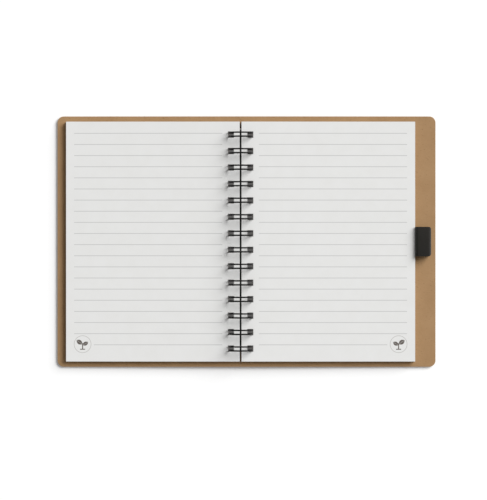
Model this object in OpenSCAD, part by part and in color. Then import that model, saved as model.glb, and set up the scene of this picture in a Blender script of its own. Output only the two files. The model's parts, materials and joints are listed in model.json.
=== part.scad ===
// Wire-bound pocket notebook, lying open at the middle.
// +X runs from the front cover to the back cover, +Y to the head, +Z up.
// The origin is on the table, under the middle of the open notebook.
// Every leaf and cover turns about one line, the centre of the wire's round arch.

/* [Leaves] */
// Height of a leaf, head to tail
leaf_h = 123.4; // [100:0.1:150]
// Width of a leaf, bound edge to fore-edge
leaf_w = 89.3; // [74:0.1:110]
// Thickness of one sheet of paper
paper_t = 0.1; // [0.08:0.01:0.12]
// Room between a sheet and the next one in a stack
sheet_gap = 0.008; // [0.004:0.001:0.02]
// Sheets in the stack that lies on each cover
stack_sheets = 22; // [8:1:30]
// Room between two leaves that turn separately
leaf_gap = 0.05; // [0.03:0.01:0.1]
// Gap between the left and right leaves at the gutter
gutter_gap = 1; // [0.6:0.1:2]

/* [Covers] */
// Thickness of a cover board
board_t = 1.2; // [0.8:0.1:1.8]
// How far a cover stands past the leaves at head and tail
head_overhang = 2.8; // [0.5:0.1:5]
// How far the front cover stands past the fore-edge
fore_overhang = 4.6; // [1:0.1:8]
// Ledge on the back cover that carries the pen loop
pen_ledge = 10.7; // [9:0.1:18]
// Radius of the covers' outer corners
corner_r = 3.2; // [1:0.1:8]
// Room between a cover and the stack on it
board_gap = 0.05; // [0.03:0.01:0.2]
// Gap between the two covers at head and tail of the gutter
cover_gap = 0.1; // [0.1:0.05:0.6]

/* [Wire binding] */
// Outer diameter of the wire loops
ring_od = 12.7; // [11:0.1:16]
// Diameter of the wire
wire_d = 0.8; // [0.6:0.05:1]
// Distance from one double loop to the next
loop_pitch = 8.467; // [6:0.001:12.7]
// Distance between the two wires of a loop
twin_gap = 2.05; // [1.6:0.05:2.6]
// Radius of the loops' lower corners
loop_corner = 1.5; // [1:0.1:1.6]
// Least paper between the last hole and the head of a leaf
hole_margin = 4.5; // [3:0.1:8]
// Room around a loop inside its punched hole
hole_clear = 0.2; // [0.15:0.01:0.4]
// Room between the wire and the underside of the covers
under_clear = 0.15; // [0.1:0.01:0.4]
// How far the seam wire runs past the first loop
seam_tail = 1.6; // [0.5:0.1:3]

/* [Pen loop] */
// Length of the elastic loop, along the fore-edge
pen_loop_len = 15.2; // [8:0.1:25]
// Width of the loop across the ledge
pen_loop_w = 8; // [6.4:0.1:8.2]
// Thickness of the elastic ribbon
ribbon_t = 0.5; // [0.3:0.05:0.9]
// Radius of the loop's corners
pen_loop_r = 1.6; // [1:0.1:2]
// Room between the loop and the leaves or the closed front cover
pen_loop_clear = 0.2; // [0.1:0.05:0.5]

/* [Hidden] */
$fn = 64;
// Leaves above each stack that turn one at a time
loose_leaves = 2;
overcut = 0.5;
kraft = [0.68, 0.55, 0.4];
paper = [0.91, 0.91, 0.9];
black = [0.17, 0.16, 0.14];

// Heights below the turning line: the right side's first leaf lies on the line itself,
// and the left side's leaves lie a step lower, so a leaf turned over lands on them.
leaf_step = paper_t + leaf_gap;
right_leaf_top = paper_t / 2;
left_leaf_top = right_leaf_top - leaf_step;
right_stack_top = right_leaf_top - loose_leaves * leaf_step;
left_stack_top = left_leaf_top - loose_leaves * leaf_step;
sheet_step = paper_t + sheet_gap;
board_top = left_stack_top - stack_sheets * sheet_step - board_gap;
board_bottom = board_top - board_t;
right_sheets = floor((right_stack_top - board_top - board_gap) / sheet_step);

// The loops: a round arch on the turning line, straight legs, and a flat foot below the covers.
wire_r = wire_d / 2;
ring_r = ring_od / 2 - wire_r;
foot_z = board_bottom - under_clear - wire_r;
leg_len = -foot_z - loop_corner;
foot_half = ring_r - loop_corner;
axis_z = wire_r - foot_z;

// The holes hold the loops at every angle of a leaf or a cover.
reach = sqrt(ring_r * ring_r - board_bottom * board_bottom);
hole_in = reach - wire_r * ring_r / reach - 2 * hole_clear;
hole_out = ring_od / 2 + hole_clear;
hole_len = twin_gap + wire_d + 2 * hole_clear;
loops = floor((leaf_h - 2 * hole_margin - hole_len) / loop_pitch) + 1;
first_loop = (loops - 1) * loop_pitch / 2;

seam_low = -first_loop - twin_gap / 2;
seam_high = first_loop + twin_gap / 2 + seam_tail;

cover_h = leaf_h + 2 * head_overhang;
leaf_in = gutter_gap / 2;
leaf_out = leaf_in + leaf_w;
cover_in = cover_gap / 2;
front_out = leaf_out + fore_overhang;
back_out = leaf_out + pen_ledge;

// Each half slopes from the wire down to the table, where its fore-edge rests.
cover_lift = axis_z + board_bottom;
front_droop = asin(cover_lift / front_out);
back_droop = asin(cover_lift / back_out);
gutter_x = (front_out - back_out) / 2;

pen_loop_h = -2 * board_top - pen_loop_clear;
pen_loop_x = leaf_out + pen_loop_clear + pen_loop_w / 2;

module right_half() {
    translate([gutter_x, 0, axis_z]) rotate([0, back_droop, 0]) children();
}

module left_half() {
    translate([gutter_x, 0, axis_z]) mirror([1, 0, 0]) rotate([0, front_droop, 0]) children();
}

// The row of square holes along the bound edge, cut through whatever lies between two heights.
module punched_holes(low, high) {
    for (i = [0 : loops - 1])
        translate([hole_in, first_loop - i * loop_pitch - hole_len / 2, low - overcut])
            cube([hole_out - hole_in, hole_len, high - low + 2 * overcut]);
}

module leaf(top) {
    difference() {
        translate([leaf_in, -leaf_h / 2, top - paper_t]) cube([leaf_w, leaf_h, paper_t]);
        punched_holes(top - paper_t, top);
    }
}

module stack(top, sheets) {
    for (i = [0 : sheets - 1]) leaf(top - i * sheet_step);
}

module board(out) {
    difference() {
        translate([0, 0, board_bottom]) linear_extrude(board_t) {
            translate([cover_in, -cover_h / 2]) square([out - cover_in - corner_r, cover_h]);
            translate([cover_in, -cover_h / 2 + corner_r])
                square([out - cover_in, cover_h - 2 * corner_r]);
            for (s = [-1, 1])
                translate([out - corner_r, s * (cover_h / 2 - corner_r)]) circle(r = corner_r);
        }
        punched_holes(board_bottom, board_top);
        seam_relief();
    }
}

// The bound edge of a cover is cut back beside the seam wire, which lies between the covers.
module seam_relief() {
    translate([0, seam_low - wire_d, board_bottom - overcut])
        cube([leaf_in, seam_high - seam_low + 2 * wire_d, board_t + 2 * overcut]);
}

module back_cover() {
    color(kraft) right_half() board(back_out);
}

module front_cover() {
    color(kraft) left_half() board(front_out);
}

// One wire of a double loop, standing across the gutter.
module loop_wire() {
    rotate([90, 0, 0]) rotate_extrude(angle = 180) translate([ring_r, 0]) circle(r = wire_r);
    for (s = [0, 1]) mirror([s, 0, 0]) {
        translate([ring_r, 0, -leg_len]) cylinder(r = wire_r, h = leg_len);
        translate([foot_half, 0, -leg_len]) rotate([90, 0, 0]) rotate([0, 0, -90])
            rotate_extrude(angle = 90) translate([loop_corner, 0]) circle(r = wire_r);
    }
    translate([-foot_half, 0, foot_z]) rotate([0, 90, 0]) cylinder(r = wire_r, h = 2 * foot_half);
}

// The seam, where the loops close, runs along the foot and ties them into one wire.
module seam() {
    translate([0, seam_low, foot_z + wire_r / 2]) rotate([-90, 0, 0])
        cylinder(r = wire_r, h = seam_high - seam_low);
}

module wire_binding() {
    color(black) translate([gutter_x, 0, axis_z]) {
        for (i = [0 : loops - 1], s = [-1, 1])
            translate([0, first_loop - i * loop_pitch + s * twin_gap / 2, 0]) loop_wire();
        seam();
    }
}

// Outline of the elastic loop, seen along the fore-edge: flat below, rounded above.
module loop_outline(w, h, r) {
    translate([-w / 2, 0]) square([w, h - r]);
    translate([-w / 2 + r, 0]) square([w - 2 * r, h]);
    for (s = [-1, 1]) translate([s * (w / 2 - r), h - r]) circle(r = r);
}

module pen_loop() {
    color(black) right_half() translate([pen_loop_x, pen_loop_len / 2, board_top])
        rotate([90, 0, 0]) linear_extrude(pen_loop_len) difference() {
            loop_outline(pen_loop_w, pen_loop_h, pen_loop_r);
            translate([0, ribbon_t])
                loop_outline(pen_loop_w - 2 * ribbon_t, pen_loop_h - 2 * ribbon_t,
                             pen_loop_r - ribbon_t);
        }
}

module right_pages() {
    color(paper) right_half() stack(right_stack_top, right_sheets);
}

module left_pages() {
    color(paper) left_half() stack(left_stack_top, stack_sheets);
}

module right_leaf_1() {
    color(paper) right_half() leaf(right_leaf_top);
}

module right_leaf_2() {
    color(paper) right_half() leaf(right_leaf_top - leaf_step);
}

module left_leaf_1() {
    color(paper) left_half() leaf(left_leaf_top);
}

module left_leaf_2() {
    color(paper) left_half() leaf(left_leaf_top - leaf_step);
}

back_cover();
front_cover();
wire_binding();
pen_loop();
right_pages();
right_leaf_2();
right_leaf_1();
left_pages();
left_leaf_2();
left_leaf_1();
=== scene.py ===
import json
import math
import random
import bpy
from mathutils import Matrix, Vector


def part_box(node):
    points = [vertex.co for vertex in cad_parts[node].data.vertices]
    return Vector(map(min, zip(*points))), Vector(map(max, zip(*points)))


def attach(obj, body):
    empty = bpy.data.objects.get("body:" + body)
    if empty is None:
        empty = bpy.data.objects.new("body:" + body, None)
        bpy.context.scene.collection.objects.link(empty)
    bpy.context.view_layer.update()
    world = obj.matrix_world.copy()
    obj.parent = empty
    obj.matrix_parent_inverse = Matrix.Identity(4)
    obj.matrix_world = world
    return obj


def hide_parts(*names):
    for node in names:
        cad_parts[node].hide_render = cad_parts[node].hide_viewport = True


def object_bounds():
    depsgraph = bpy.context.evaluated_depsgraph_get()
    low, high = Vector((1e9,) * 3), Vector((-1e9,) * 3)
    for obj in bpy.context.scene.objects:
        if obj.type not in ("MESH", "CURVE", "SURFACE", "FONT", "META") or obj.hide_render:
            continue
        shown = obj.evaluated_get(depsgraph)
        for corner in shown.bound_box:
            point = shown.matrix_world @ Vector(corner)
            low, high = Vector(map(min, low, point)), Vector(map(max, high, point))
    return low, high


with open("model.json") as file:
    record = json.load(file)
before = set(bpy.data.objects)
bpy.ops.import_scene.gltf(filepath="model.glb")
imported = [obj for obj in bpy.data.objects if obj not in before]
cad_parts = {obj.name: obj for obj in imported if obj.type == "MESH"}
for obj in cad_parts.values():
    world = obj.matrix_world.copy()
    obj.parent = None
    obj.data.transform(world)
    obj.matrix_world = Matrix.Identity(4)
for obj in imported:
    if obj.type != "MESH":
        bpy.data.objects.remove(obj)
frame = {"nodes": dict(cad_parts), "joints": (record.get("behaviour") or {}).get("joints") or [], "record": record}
cadLow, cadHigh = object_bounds()
nodes = frame["nodes"]
mm = 0.001
scene = bpy.context.scene
scene.view_settings.view_transform = "Standard"

# the line that every leaf and cover turns about
turnLine = Vector(frame["joints"][0]["pos_m"])
leafLow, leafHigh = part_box("right_leaf_1")
leafOut = leafHigh.x - turnLine.x
leafTop = leafHigh.y
backFace = next(m for m in frame["record"]["mounts"] if m["name"] == "back_cover_face")
print("frame loaded")


def deselectAll():
    if bpy.context.object and bpy.context.object.mode != "OBJECT":
        bpy.ops.object.mode_set(mode="OBJECT")
    bpy.ops.object.select_all(action="DESELECT")


def selectOnly(piece):
    deselectAll()
    piece.select_set(True)
    bpy.context.view_layer.objects.active = piece


def addModifier(piece, kind, **values):
    selectOnly(piece)
    modifier = piece.modifiers.new(kind.lower(), kind)
    for name, value in values.items():
        setattr(modifier, name, value)
    bpy.ops.object.modifier_apply(modifier=modifier.name)


def settle(piece):
    # the place goes into the mesh, so the object sits at the origin
    selectOnly(piece)
    bpy.ops.object.transform_apply(location=True, rotation=True, scale=True)


def copyOfNode(node, name):
    # a merged copy of a CAD node, to be finished as a detailed piece
    piece = nodes[node].copy()
    piece.data = nodes[node].data.copy()
    piece.name = name
    piece.parent = None
    for key in list(piece.keys()):
        del piece[key]
    scene.collection.objects.link(piece)
    selectOnly(piece)
    bpy.ops.object.mode_set(mode="EDIT")
    bpy.ops.mesh.select_all(action="SELECT")
    bpy.ops.mesh.remove_doubles(threshold=0.001 * mm)
    bpy.ops.object.mode_set(mode="OBJECT")
    return piece


def pickFaces(piece, wanted):
    # leaves edit mode on, with only the wanted faces selected
    selectOnly(piece)
    bpy.ops.object.mode_set(mode="EDIT")
    bpy.ops.mesh.select_mode(type="FACE")
    bpy.ops.mesh.select_all(action="DESELECT")
    bpy.ops.object.mode_set(mode="OBJECT")
    for face in piece.data.polygons:
        face.select = wanted(face)
    bpy.ops.object.mode_set(mode="EDIT")


def pickEdges(piece, wanted):
    selectOnly(piece)
    bpy.ops.object.mode_set(mode="EDIT")
    bpy.ops.mesh.select_mode(type="EDGE")
    bpy.ops.mesh.select_all(action="DESELECT")
    bpy.ops.object.mode_set(mode="OBJECT")
    points = piece.data.vertices
    for edge in piece.data.edges:
        a, b = (points[i].co for i in edge.vertices)
        edge.select = wanted(a, b)
    bpy.ops.object.mode_set(mode="EDIT")


def giveMaterial(piece, material):
    piece.data.materials.clear()
    piece.data.materials.append(material)


def smooth(piece, degrees):
    selectOnly(piece)
    bpy.ops.object.shade_smooth_by_angle(angle=math.radians(degrees))


class Nodes:
    # places shader nodes and links them, so a pattern reads as a formula
    def __init__(self, tree):
        self.tree = tree

    def add(self, kind, inputs=None, **settings):
        node = self.tree.nodes.new(kind)
        for name, value in settings.items():
            setattr(node, name, value)
        for key, value in (inputs or {}).items():
            self.put(node.inputs[key], value)
        return node

    def put(self, socket, value):
        if isinstance(value, bpy.types.NodeSocket):
            self.tree.links.new(value, socket)
        else:
            socket.default_value = value

    def math(self, operation, a, b=0.0):
        node = self.add("ShaderNodeMath", {0: a, 1: b}, operation=operation)
        return node.outputs[0]

    def plus(self, a, b):
        return self.math("ADD", a, b)

    def minus(self, a, b):
        return self.math("SUBTRACT", a, b)

    def times(self, a, b):
        return self.math("MULTIPLY", a, b)

    def size(self, a):
        return self.math("ABSOLUTE", a)

    def both(self, *masks):
        result = masks[0]
        for mask in masks[1:]:
            result = self.times(result, mask)
        return result

    def either(self, *masks):
        result = masks[0]
        for mask in masks[1:]:
            result = self.math("MAXIMUM", result, mask)
        return result

    def inside(self, distance, soft):
        # 1 where distance is above soft, 0 where it is below minus soft
        node = self.add("ShaderNodeMapRange", {0: distance, 1: -soft, 2: soft, 3: 0.0, 4: 1.0})
        return node.outputs[0]

    def ramp(self, value, low, high, start=0.0, end=1.0):
        node = self.add("ShaderNodeMapRange", {0: value, 1: low, 2: high, 3: start, 4: end})
        return node.outputs[0]

    def blend(self, share, a, b):
        node = self.add("ShaderNodeMix", data_type="RGBA")
        self.put(node.inputs[0], share)
        self.put(node.inputs[6], a)
        self.put(node.inputs[7], b)
        return node.outputs[2]

    def noise(self, where, scale, detail=2.0, roughness=0.5):
        node = self.add("ShaderNodeTexNoise", {"Vector": where, "Scale": scale, "Detail": detail,
                                               "Roughness": roughness})
        return node.outputs["Fac"]

    def stretched(self, where, scale, turn):
        node = self.add("ShaderNodeMapping", {"Vector": where, "Scale": scale,
                                              "Rotation": (0.0, 0.0, turn)})
        return node.outputs[0]

    def bump(self, height, values):
        return self.add("ShaderNodeBump", {"Height": height, **values}).outputs[0]

    def apart(self, vector):
        return self.add("ShaderNodeSeparateXYZ", {0: vector}).outputs


def newGroup(name, inputs, outputs):
    group = bpy.data.node_groups.new(name, "ShaderNodeTree")
    for label, kind, value in inputs:
        socket = group.interface.new_socket(label, in_out="INPUT", socket_type=kind)
        if value is not None:
            socket.default_value = value
    for label, kind in outputs:
        group.interface.new_socket(label, in_out="OUTPUT", socket_type=kind)
    n = Nodes(group)
    return group, n, n.add("NodeGroupInput").outputs, n.add("NodeGroupOutput").inputs


fibreWeave = {
    "mottleScale": 90.0,
    "fibreSize": (350.0, 2600.0, 900.0),
    "crossSize": (2400.0, 420.0, 900.0),
    "fleckSize": (900.0, 2100.0, 900.0),
    "fibreTurn": 0.25,
    "crossTurn": -0.35,
    "fleckTurn": 0.9,
    "fleckFrom": 0.68,
    "fleckFull": 0.76,
}


def buildFibreGroup():
    # paper and board fibres: a mottle, a grain of short fibres, flecks and a height
    group, n, given, out = newGroup(
        "fibres",
        [("Vector", "NodeSocketVector", None), ("Scale", "NodeSocketFloat", 1.0)],
        [("Mottle", "NodeSocketFloat"), ("Grain", "NodeSocketFloat"),
         ("Flecks", "NodeSocketFloat"), ("Height", "NodeSocketFloat")])
    sized = n.add("ShaderNodeVectorMath", {0: given["Vector"]}, operation="SCALE")
    n.put(sized.inputs["Scale"], given["Scale"])
    where = sized.outputs[0]
    along = n.stretched(where, fibreWeave["fibreSize"], fibreWeave["fibreTurn"])
    across = n.stretched(where, fibreWeave["crossSize"], fibreWeave["crossTurn"])
    scattered = n.stretched(where, fibreWeave["fleckSize"], fibreWeave["fleckTurn"])
    mottle = n.noise(where, fibreWeave["mottleScale"], 4.0, 0.6)
    grain = n.times(n.plus(n.noise(along, 1.0, 3.0, 0.6), n.noise(across, 1.0, 3.0, 0.6)), 0.5)
    flecks = n.ramp(n.noise(scattered, 1.0, 1.0, 0.4),
                    fibreWeave["fleckFrom"], fibreWeave["fleckFull"])
    n.put(out["Mottle"], mottle)
    n.put(out["Grain"], grain)
    n.put(out["Flecks"], flecks)
    n.put(out["Height"], n.plus(n.times(grain, 0.7), n.times(mottle, 0.3)))
    return group


ruling = {
    "lines": 20,
    "firstBelowTop": 6.0 * mm,
    "lastAboveFoot": 8.6 * mm,
    "startFromGutter": 9.4 * mm,
    "endFromEdge": 4.15 * mm,
    "lineWidth": 0.36 * mm,
    "markFromEdge": 8.5 * mm,
    "markAboveFoot": 8.9 * mm,
    "markRing": 4.35 * mm,
    "ringWidth": 0.3 * mm,
    "lineStopsBeforeMark": 5.8 * mm,
    "inkEdge": 0.04 * mm,
}

sprout = {
    # side, length, width, centre across, centre up (mm), tilt (radians)
    "blades": ((1, 3.7, 2.3, 1.6, 1.05, 0.62), (-1, 3.3, 2.0, 1.45, 0.3, 0.5)),
    "veinHalf": 0.06 * mm,
    "veinShade": 0.35,
    "stemHalf": 0.26 * mm,
    "stemFoot": -2.7 * mm,
    "stemTop": 0.5 * mm,
    "soilHalf": 0.24 * mm,
    "soilHeight": -2.6 * mm,
    "soilReach": 1.3 * mm,
}


def buildRulingGroup():
    # ruled lines and a small sprout in a ring at the outer foot corner, alike on every leaf
    group, n, given, out = newGroup(
        "ruledPrint",
        [("Vector", "NodeSocketVector", None)],
        [("Lines", "NodeSocketFloat"), ("Mark", "NodeSocketFloat"), ("Ring", "NodeSocketFloat")])
    parts = n.apart(given["Vector"])
    outward = n.size(n.minus(parts["X"], turnLine.x))
    y = parts["Y"]
    span = 2 * leafTop - ruling["firstBelowTop"] - ruling["lastAboveFoot"]
    pitch = span / (ruling["lines"] - 1)
    count = n.math("DIVIDE", n.minus(leafTop - ruling["firstBelowTop"], y), pitch)
    nearest = n.math("ROUND", count)
    offLine = n.times(n.size(n.minus(count, nearest)), pitch)
    soft = ruling["inkEdge"]
    onLine = n.inside(n.minus(ruling["lineWidth"] / 2, offLine), soft)
    inRows = n.both(n.inside(n.plus(nearest, 0.5), 0.1),
                    n.inside(n.minus(ruling["lines"] - 0.5, nearest), 0.1))
    lineEnd = leafOut - ruling["endFromEdge"]
    markX = leafOut - ruling["markFromEdge"]
    lastEnd = markX - ruling["lineStopsBeforeMark"]
    isLast = n.inside(n.minus(nearest, ruling["lines"] - 1.5), 0.1)
    thisEnd = n.minus(lineEnd, n.times(isLast, lineEnd - lastEnd))
    inWidth = n.both(n.inside(n.minus(outward, ruling["startFromGutter"]), soft),
                     n.inside(n.minus(thisEnd, outward), soft))
    u = n.minus(outward, markX)
    v = n.minus(y, ruling["markAboveFoot"] - leafTop)
    radius = n.math("SQRT", n.plus(n.times(u, u), n.times(v, v)))
    offRing = n.size(n.minus(radius, ruling["markRing"]))
    ring = n.inside(n.minus(ruling["ringWidth"] / 2, offRing), soft)

    def blade(side, length, width, centreU, centreV, tilt):
        cos, sin = math.cos(tilt), math.sin(tilt)
        du = n.minus(u, side * centreU * mm)
        dv = n.minus(v, centreV * mm)
        along = n.plus(n.times(du, side * cos), n.times(dv, sin))
        across = n.minus(n.times(dv, cos), n.times(du, side * sin))
        ratio = n.times(along, 2 / (length * mm))
        edge = n.times(n.minus(1.0, n.times(ratio, ratio)), width / 2 * mm)
        shape = n.inside(n.minus(edge, n.size(across)), soft)
        vein = n.inside(n.minus(n.size(across), sprout["veinHalf"]), soft)
        return n.times(shape, n.ramp(vein, 0.0, 1.0, sprout["veinShade"], 1.0))

    stem = n.both(n.inside(n.minus(sprout["stemHalf"], n.size(u)), soft),
                  n.inside(n.minus(v, sprout["stemFoot"]), soft),
                  n.inside(n.minus(sprout["stemTop"], v), soft))
    offSoil = n.size(n.minus(v, sprout["soilHeight"]))
    soil = n.both(n.inside(n.minus(sprout["soilHalf"], offSoil), soft),
                  n.inside(n.minus(sprout["soilReach"], n.size(u)), soft))
    mark = n.either(*(blade(*values) for values in sprout["blades"]), stem, soil)
    n.put(out["Lines"], n.both(onLine, inRows, inWidth))
    n.put(out["Mark"], mark)
    n.put(out["Ring"], ring)
    return group


fibreGroup = buildFibreGroup()
rulingGroup = buildRulingGroup()
print("shader groups built")


def newMaterial(name, color):
    material = bpy.data.materials.new(name)
    material.use_nodes = True
    material.diffuse_color = (*color[:3], 1.0)
    tree = material.node_tree
    n = Nodes(tree)
    shader = tree.nodes["Principled BSDF"]
    place = n.add("ShaderNodeTexCoord").outputs
    return material, n, shader, place


def fibresAt(n, where, scale):
    group = n.add("ShaderNodeGroup", node_tree=fibreGroup)
    n.put(group.inputs["Vector"], where)
    group.inputs["Scale"].default_value = scale
    return group.outputs


kraft = {
    "face": (0.36, 0.217, 0.105, 1.0),
    "pale": (0.43, 0.272, 0.144, 1.0),
    "deep": (0.28, 0.16, 0.073, 1.0),
    "mottle": 0.28,
    "fleck": (0.16, 0.088, 0.04, 1.0),
    "core": (0.235, 0.157, 0.088, 1.0),
    "paleGrain": 0.22,
    "fleckShare": 0.55,
    "plyShare": 0.35,
    "plyWaves": 24000.0,  # radians to the metre through the board
    "roughness": (0.8, 0.92),
    "bump": {"Strength": 0.25, "Distance": 0.12 * mm},
}


def kraftMaterial():
    material, n, shader, place = newMaterial("kraftBoard", kraft["face"])
    where = place["Object"]
    fibres = fibresAt(n, where, 1.0)
    tone = n.blend(n.ramp(fibres["Mottle"], 0.3, 0.7), kraft["deep"], kraft["pale"])
    face = n.blend(kraft["mottle"], kraft["face"], tone)
    face = n.blend(n.ramp(fibres["Grain"], 0.42, 0.62, 0.0, kraft["paleGrain"]), face, kraft["pale"])
    face = n.blend(n.times(fibres["Flecks"], kraft["fleckShare"]), face, kraft["fleck"])
    # the cut edge shows the board's pressed plies
    up = n.size(n.apart(place["Normal"])["Z"])
    cutEdge = n.ramp(up, 0.75, 0.35)
    height = n.apart(where)["Z"]
    plies = n.math("SINE", n.times(height, kraft["plyWaves"]))
    core = n.blend(n.ramp(plies, -1.0, 1.0, 0.0, kraft["plyShare"]), kraft["core"], kraft["deep"])
    n.put(shader.inputs["Base Color"], n.blend(cutEdge, face, core))
    n.put(shader.inputs["Roughness"], n.ramp(fibres["Grain"], 0.3, 0.7, *kraft["roughness"]))
    shader.inputs["Specular IOR Level"].default_value = 0.25
    n.put(shader.inputs["Normal"], n.bump(fibres["Height"], kraft["bump"]))
    return material


paper = {
    "face": (0.765, 0.765, 0.755, 1.0),
    "warm": (0.72, 0.715, 0.695, 1.0),
    # painted shade, grey, on the sheets' cut edges, for the shade between the sheets
    "edge": (0.62, 0.61, 0.58, 1.0),
    # painted shade, near black, on the punched holes' walls
    "punched": (0.03, 0.0285, 0.026, 1.0),
    "punchedWithin": 8.0 * mm,
    "punchedFrom": 2.0 * mm,
    "punchedEdge": 0.1 * mm,
    "line": (0.55, 0.55, 0.545, 1.0),
    "ring": (0.52, 0.51, 0.49, 1.0),
    "mark": (0.06, 0.042, 0.03, 1.0),
    "inkCover": 0.9,
    "warmShare": 0.35,
    "fibreScale": 1.6,
    "roughness": (0.85, 0.95),
    "bump": {"Strength": 0.12, "Distance": 0.05 * mm},
}


def paperMaterial():
    material, n, shader, place = newMaterial("ruledPaper", paper["face"])
    where = place["Object"]
    fibres = fibresAt(n, where, paper["fibreScale"])
    warmth = n.ramp(fibres["Mottle"], 0.35, 0.7, 0.0, paper["warmShare"])
    face = n.blend(warmth, paper["face"], paper["warm"])
    printed = n.add("ShaderNodeGroup", node_tree=rulingGroup)
    n.put(printed.inputs["Vector"], where)
    inked = n.blend(printed.outputs["Lines"], face, paper["line"])
    inked = n.blend(printed.outputs["Ring"], inked, paper["ring"])
    inked = n.blend(n.times(printed.outputs["Mark"], paper["inkCover"]), inked, paper["mark"])
    up = n.size(n.apart(place["Normal"])["Z"])
    # painted shade: the punched holes' walls are painted near black for the deep shade in the holes, and the other
    # cut edges grey for the shade between the sheets
    parts = n.apart(where)
    outward = n.size(n.minus(parts["X"], turnLine.x))
    offHead = n.minus(leafTop, n.size(parts["Y"]))
    soft = paper["punchedEdge"]
    holeShadeMask = n.both(n.inside(n.minus(paper["punchedWithin"], outward), soft),
                     n.inside(n.minus(outward, paper["punchedFrom"]), soft),
                     n.inside(n.minus(offHead, paper["punchedFrom"]), soft))
    edgeAndHoleShade = n.blend(holeShadeMask, paper["edge"], paper["punched"])
    n.put(shader.inputs["Base Color"], n.blend(n.ramp(up, 0.7, 0.4), inked, edgeAndHoleShade))
    n.put(shader.inputs["Roughness"], n.ramp(fibres["Grain"], 0.3, 0.7, *paper["roughness"]))
    shader.inputs["Specular IOR Level"].default_value = 0.2
    n.put(shader.inputs["Normal"], n.bump(fibres["Height"], paper["bump"]))
    return material


wire = {
    "color": (0.006, 0.0056, 0.005, 1.0),
    "worn": (0.014, 0.0128, 0.0115, 1.0),
    "speckScale": 2200.0,
    "pitScale": 3500.0,
    "roughness": (0.36, 0.52),
    "bump": {"Strength": 0.12, "Distance": 0.03 * mm},
}


def wireMaterial():
    material, n, shader, place = newMaterial("coatedWire", wire["color"])
    specks = n.noise(place["Object"], wire["speckScale"], 3.0, 0.6)
    n.put(shader.inputs["Base Color"],
          n.blend(n.ramp(specks, 0.52, 0.72), wire["color"], wire["worn"]))
    n.put(shader.inputs["Roughness"], n.ramp(specks, 0.3, 0.7, *wire["roughness"]))
    shader.inputs["Specular IOR Level"].default_value = 0.15
    pits = n.noise(place["Object"], wire["pitScale"], 2.0)
    n.put(shader.inputs["Normal"], n.bump(pits, wire["bump"]))
    return material


elastic = {
    "color": (0.009, 0.0078, 0.006, 1.0),
    # painted light and shade: the weave's raised threads are painted lighter and its hollows darker
    "raisedThreadLight": (0.021, 0.0186, 0.015, 1.0),
    "ribPitch": 0.55 * mm,
    "stitchPitch": 0.5 * mm,
    "fuzzScale": 5000.0,
    "bump": {"Strength": 0.7, "Distance": 0.12 * mm},
}


def elasticMaterial():
    material, n, shader, place = newMaterial("wovenElastic", elastic["color"])
    uv = n.apart(place["UV"])
    ribs = n.math("SINE", n.times(uv["Y"], 2 * math.pi))
    picks = n.math("SINE", n.plus(n.times(uv["X"], 2 * math.pi), n.times(ribs, 0.9)))
    weave = n.plus(n.times(ribs, 0.6), n.times(picks, 0.4))
    fuzz = n.noise(place["Object"], elastic["fuzzScale"], 2.0)
    height = n.plus(weave, n.times(fuzz, 0.5))
    # painted light and shade: the colour follows the weave's height, lighter where it stands higher, darker in the
    # hollows
    n.put(shader.inputs["Base Color"],
          n.blend(n.ramp(height, -0.4, 1.3), elastic["color"], elastic["raisedThreadLight"]))
    shader.inputs["Roughness"].default_value = 0.85
    shader.inputs["Specular IOR Level"].default_value = 0.25
    shader.inputs["Sheen Weight"].default_value = 0.15
    shader.inputs["Sheen Roughness"].default_value = 0.5
    n.put(shader.inputs["Normal"], n.bump(height, elastic["bump"]))
    return material


kraftBoard = kraftMaterial()
ruledPaper = paperMaterial()
coatedWire = wireMaterial()
wovenElastic = elasticMaterial()
print("materials built")


cover = {"edgeRound": 0.22 * mm, "roundSteps": 2, "sharpFrom": 40, "smoothUnder": 35}  # degrees


def makeCover(node, body):
    piece = copyOfNode(node, node + "_board")
    addModifier(piece, "BEVEL", width=cover["edgeRound"], segments=cover["roundSteps"],
                limit_method="ANGLE", angle_limit=math.radians(cover["sharpFrom"]),
                use_clamp_overlap=True)
    smooth(piece, cover["smoothUnder"])
    addModifier(piece, "WEIGHTED_NORMAL", weight=100, keep_sharp=True)
    giveMaterial(piece, kraftBoard)
    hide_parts(node)
    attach(piece, body)
    return piece


makeCover("back_cover", "back_half")
makeCover("front_cover", "front_half")
print("covers made")


leaves = {"shift": 0.09 * mm, "seed": 7}


def makeStack(node, body):
    # the stacked sheets are parted, and each is nudged, as a pile of real leaves is
    piece = copyOfNode(node, node + "_sheets")
    selectOnly(piece)
    bpy.ops.object.mode_set(mode="EDIT")
    bpy.ops.mesh.select_all(action="SELECT")
    bpy.ops.mesh.separate(type="LOOSE")
    bpy.ops.object.mode_set(mode="OBJECT")
    chance = random.Random(leaves["seed"])
    sheets = sorted(bpy.context.selected_objects,
                    key=lambda s: sum((v.co.z for v in s.data.vertices)) / len(s.data.vertices))
    for sheet in sheets:
        nudge = Vector((chance.uniform(-1, 1), chance.uniform(-1, 1), 0)) * leaves["shift"]
        sheet.data.transform(Matrix.Translation(nudge))
    deselectAll()
    for sheet in sheets:
        sheet.select_set(True)
    bpy.context.view_layer.objects.active = sheets[0]
    bpy.ops.object.join()
    piece = bpy.context.object
    piece.name = node + "_sheets"
    giveMaterial(piece, ruledPaper)
    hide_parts(node)
    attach(piece, body)
    return piece


makeStack("right_pages", "right_stack")
makeStack("left_pages", "left_stack")
for looseLeaf in ("right_leaf_1", "right_leaf_2", "left_leaf_1", "left_leaf_2"):
    giveMaterial(nodes[looseLeaf], ruledPaper)
print("leaves made")


giveMaterial(nodes["wire_binding"], coatedWire)
print("wire made")


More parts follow.
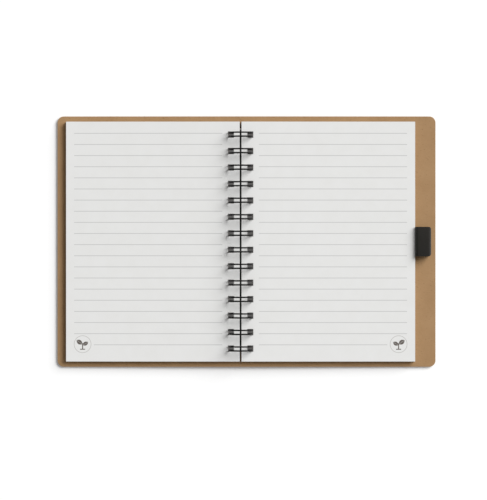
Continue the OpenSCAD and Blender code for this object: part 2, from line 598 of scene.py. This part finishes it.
penLoop = {
    "ribbon": 0.6 * mm,
    "fold": 1.6 * mm,  # outer radius where the ribbon turns
    "foldSteps": 8,
    "cornerRound": 1.5 * mm,  # seen from above, on the outer side
    "edgeRound": 0.12 * mm,
    "trimSpare": 4 * mm,
    "endTrim": 0.02 * mm,
    "sharpFrom": 50,  # degrees
    "smoothUnder": 40,
    "girth": 1.8,  # length round the loop, over its width and height together
}


def makePenLoop():
    slope = math.asin(-backFace["axis"][0])  # the ledge falls a little towards the fore-edge
    low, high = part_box("pen_loop")
    whole = high - low
    wide = whole.x - whole.z * math.sin(slope)
    tall = whole.z - whole.x * math.sin(slope)
    long = whole.y
    ribbon = penLoop["ribbon"]
    deselectAll()
    bpy.ops.mesh.primitive_cube_add(size=1.0, scale=(wide - ribbon, long, tall - ribbon))
    piece = bpy.context.object
    piece.name = "pen_loop_ribbon"
    settle(piece)
    pickFaces(piece, lambda face: abs(face.normal.y) > 0.9)
    bpy.ops.mesh.delete(type="FACE")
    pickEdges(piece, lambda a, b: abs(a.y - b.y) > long / 2)
    bpy.ops.mesh.bevel(offset=penLoop["fold"] - ribbon / 2, segments=penLoop["foldSteps"],
                       affect="EDGES")
    bpy.ops.object.mode_set(mode="OBJECT")
    addModifier(piece, "SOLIDIFY", thickness=ribbon, offset=0.0)

    # a block with two rounded corners trims the ribbon where it folds over on the outside
    deselectAll()
    spare = penLoop["trimSpare"]
    bpy.ops.mesh.primitive_cube_add(size=1.0, location=(-spare / 2, 0, 0),
                                    scale=(wide + spare, long - penLoop["endTrim"], tall + spare))
    block = bpy.context.object
    settle(block)
    pickEdges(block, lambda a, b: abs(a.z - b.z) > tall and a.x > 0)
    bpy.ops.mesh.bevel(offset=penLoop["cornerRound"], segments=penLoop["foldSteps"],
                       affect="EDGES")
    bpy.ops.object.mode_set(mode="OBJECT")
    addModifier(piece, "BOOLEAN", object=block, operation="INTERSECT", solver="EXACT")
    bpy.data.objects.remove(block)
    addModifier(piece, "BEVEL", width=penLoop["edgeRound"], segments=2, limit_method="ANGLE",
                angle_limit=math.radians(penLoop["sharpFrom"]), use_clamp_overlap=True)

    # the weave has its own map: X runs round the loop, Y along the fore-edge
    layer = piece.data.uv_layers.active or piece.data.uv_layers.new(name="weave")
    stitches = round(penLoop["girth"] * (wide + tall) / elastic["stitchPitch"])
    for loop in piece.data.loops:
        point = piece.data.vertices[loop.vertex_index].co
        turn = math.atan2(point.z, point.x) / (2 * math.pi)
        layer.data[loop.index].uv = (turn * stitches, point.y / elastic["ribPitch"])
    smooth(piece, penLoop["smoothUnder"])
    piece.location = (low + high) / 2
    piece.rotation_euler = (0, slope, 0)
    settle(piece)
    giveMaterial(piece, wovenElastic)
    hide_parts("pen_loop")
    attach(piece, "back_half")
    return piece


makePenLoop()
print("pen loop made")


studio = {
    "floorGlow": 0.08,
    "floorColor": (0.93, 0.93, 0.93, 1.0),
    "skyStrength": 0.275,
    "floorSize": 80.0,
    "keyStrength": 4.1,
    "keySpread": 44.0,  # degrees; wider is softer
    "keyTurn": 36.0,
    "keyHeight": 35.0,
}


def makeFloor():
    deselectAll()
    bpy.ops.mesh.primitive_plane_add(size=studio["floorSize"], location=(0, 0, -0.02 * mm))
    floor = bpy.context.object
    floor.name = "floor"
    material, n, shader, place = newMaterial("paleFloor", studio["floorColor"])
    shader.inputs["Base Color"].default_value = studio["floorColor"]
    shader.inputs["Roughness"].default_value = 1.0
    shader.inputs["Specular IOR Level"].default_value = 0.0
    shader.inputs["Emission Color"].default_value = (1, 1, 1, 1)
    shader.inputs["Emission Strength"].default_value = studio["floorGlow"]
    giveMaterial(floor, material)


def makeLight():
    turn, height = math.radians(studio["keyTurn"]), math.radians(studio["keyHeight"])
    away = Vector((math.cos(turn) * math.cos(height), math.sin(turn) * math.cos(height),
                   math.sin(height)))
    data = bpy.data.lights.new("key", "SUN")
    data.angle = math.radians(studio["keySpread"])
    data.energy = studio["keyStrength"]
    light = bpy.data.objects.new("key", data)
    light.location = away
    light.rotation_euler = away.to_track_quat("Z", "Y").to_euler()
    scene.collection.objects.link(light)
    world = bpy.data.worlds.new("studio")
    world.use_nodes = True
    sky = world.node_tree.nodes["Background"]
    sky.inputs["Color"].default_value = (1, 1, 1, 1)
    sky.inputs["Strength"].default_value = studio["skyStrength"]
    scene.world = world


shot = {
    "distance": 1.5,
    "across": 257.5 * mm,
    "right": -1.55 * mm,
    "up": -4.33 * mm,
}


def makeCamera():
    data = bpy.data.cameras.new("camera")
    data.sensor_width = 36.0
    data.lens = 36.0 * (shot["distance"] - cadHigh.z / 4) / shot["across"]
    data.clip_start = 0.1
    data.clip_end = 200.0
    camera = bpy.data.objects.new("camera", data)
    camera.location = (shot["right"], shot["up"], shot["distance"])
    scene.collection.objects.link(camera)
    scene.camera = camera


makeFloor()
makeLight()
makeCamera()
print("studio set")
